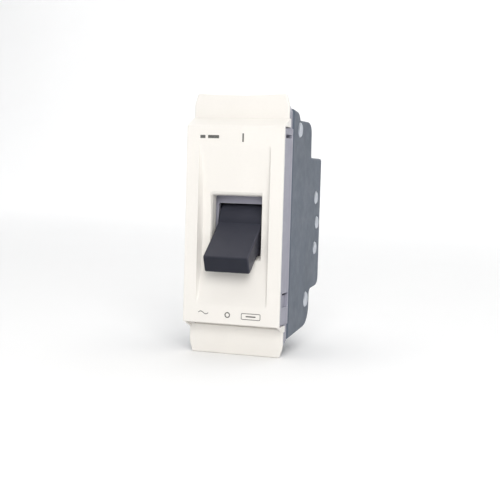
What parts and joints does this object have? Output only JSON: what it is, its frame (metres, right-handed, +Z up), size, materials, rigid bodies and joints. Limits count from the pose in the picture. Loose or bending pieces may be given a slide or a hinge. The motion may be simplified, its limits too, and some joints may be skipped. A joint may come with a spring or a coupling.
{
  "type": "circuit breaker",
  "caption": "Miniature circuit breaker module for a switch plate, with a tilting toggle, dished front cover, seating ears and a riveted case that holds its switching parts.",
  "frame": {"origin": "middle of the whole object's box, with the toggle in OFF", "axes": "-Y out of the front face, +Z up along the height, +X to the right seen from the front"},
  "size_m": [0.0226, 0.0362, 0.058],
  "materials": {
    "cover": "satin white moulded plastic",
    "frame": "fine-textured light grey plastic",
    "case": "matt slate grey thermoset",
    "toggle": "satin charcoal plastic",
    "rivet": "satin rivet metal",
    "steel": "plated steel",
    "copper": "bare copper",
    "brass": "brass",
    "silver": "silver alloy",
    "bobbin": "natural plastic",
    "trip": "red-brown plastic",
    "fibre": "pressed fibre",
    "bimetal": "rolled bimetal"
  },
  "bodies": {
    "housing": {"front_cover": "cover", "inner_frame": "frame", "left_case": "case", "right_case": "case", "case_rivet_1": "rivet", "case_rivet_2": "rivet", "case_rivet_3": "rivet", "case_rivet_4": "rivet", "case_rivet_5": "rivet", "toggle_pin": "steel", "toggle_spring": "steel", "contact_arm_pin": "steel", "contact_spring": "steel", "fixed_contact": "copper", "fixed_contact_tip": "silver", "magnetic_coil": "copper", "coil_bobbin": "bobbin", "coil_yoke": "steel", "fixed_core": "steel", "plunger_spring": "steel", "trip_lever_pin": "steel", "bimetal_bracket": "copper", "calibration_screw": "brass", "braid": "copper", "arc_plate_1": "steel", "arc_plate_2": "steel", "arc_plate_3": "steel", "arc_plate_4": "steel", "arc_plate_5": "steel", "arc_plate_6": "steel", "arc_cheek_left": "fibre", "arc_cheek_right": "fibre", "arc_runner": "copper", "upper_terminal_plate": "copper", "lower_terminal_plate": "copper"},
    "toggle": {"toggle_lever": "toggle"},
    "drive_link": {"drive_link": "steel"},
    "contact_arm": {"contact_arm": "copper", "moving_contact_tip": "silver"},
    "bimetal": {"bimetal_strip": "bimetal"},
    "trip_lever": {"trip_lever": "trip"},
    "plunger": {"plunger": "steel"},
    "upper_screw": {"upper_terminal_screw": "steel"},
    "upper_cage": {"upper_terminal_cage": "brass"},
    "lower_screw": {"lower_terminal_screw": "steel"},
    "lower_cage": {"lower_terminal_cage": "brass"}
  },
  "joints": [
    {"name": "toggle_hinge", "type": "hinge", "parent": "housing", "child": "toggle", "pos_m": [0, -0.00429, 0], "axis": [-1, 0, 0], "range_deg": [0, 56]},
    {"name": "link_hinge", "type": "hinge", "parent": "toggle", "child": "drive_link", "pos_m": [0, -0.00135, 0.0019], "axis": [1, 0, 0], "range_deg": [0, 52.1]},
    {"name": "contact_arm_hinge", "type": "hinge", "parent": "housing", "child": "contact_arm", "pos_m": [0, 0.00556, -0.0038], "axis": [1, 0, 0], "range_deg": [0, 28.1]},
    {"name": "bimetal_flex", "type": "hinge", "parent": "housing", "child": "bimetal", "pos_m": [0.0075, -0.00154, -0.0164], "axis": [-1, 0, 0], "range_deg": [0, 2.6], "stiffness_Nm_per_rad": 0.05, "springref_deg": -1.15},
    {"name": "trip_hinge", "type": "hinge", "parent": "housing", "child": "trip_lever", "pos_m": [0.0045, 0.00161, -0.009], "axis": [-1, 0, 0], "range_deg": [0, 8.1]},
    {"name": "plunger_slide", "type": "slide", "parent": "housing", "child": "plunger", "axis": [0, 0, -1], "range_m": [0, 0.0018], "stiffness_N_per_m": 30, "springref_m": -0.001, "deforming": ["plunger_spring"]},
    {"name": "upper_screw_turn", "type": "hinge", "parent": "housing", "child": "upper_screw", "pos_m": [0, 0.00651, 0.0186], "axis": [0, -1, 0], "range_deg": [0, 780]},
    {"name": "upper_cage_slide", "type": "slide", "parent": "housing", "child": "upper_cage", "axis": [0, 1, 0], "range_m": [0, 0.0013]},
    {"name": "lower_screw_turn", "type": "hinge", "parent": "housing", "child": "lower_screw", "pos_m": [0, 0.00541, -0.0208], "axis": [0, -1, 0], "range_deg": [0, 780]},
    {"name": "lower_cage_slide", "type": "slide", "parent": "housing", "child": "lower_cage", "axis": [0, 1, 0], "range_m": [0, 0.0013]}
  ],
  "couplings": [
    {"joint": "link_hinge", "follows": "toggle_hinge", "ratio": 0.92893},
    {"joint": "contact_arm_hinge", "follows": "toggle_hinge", "ratio": 0.5},
    {"joint": "trip_hinge", "follows": "bimetal_flex", "ratio": 3.0769},
    {"joint": "upper_screw_turn", "follows": "upper_cage_slide", "rad_per_m": 10461},
    {"joint": "lower_screw_turn", "follows": "lower_cage_slide", "rad_per_m": 10461}
  ]
}
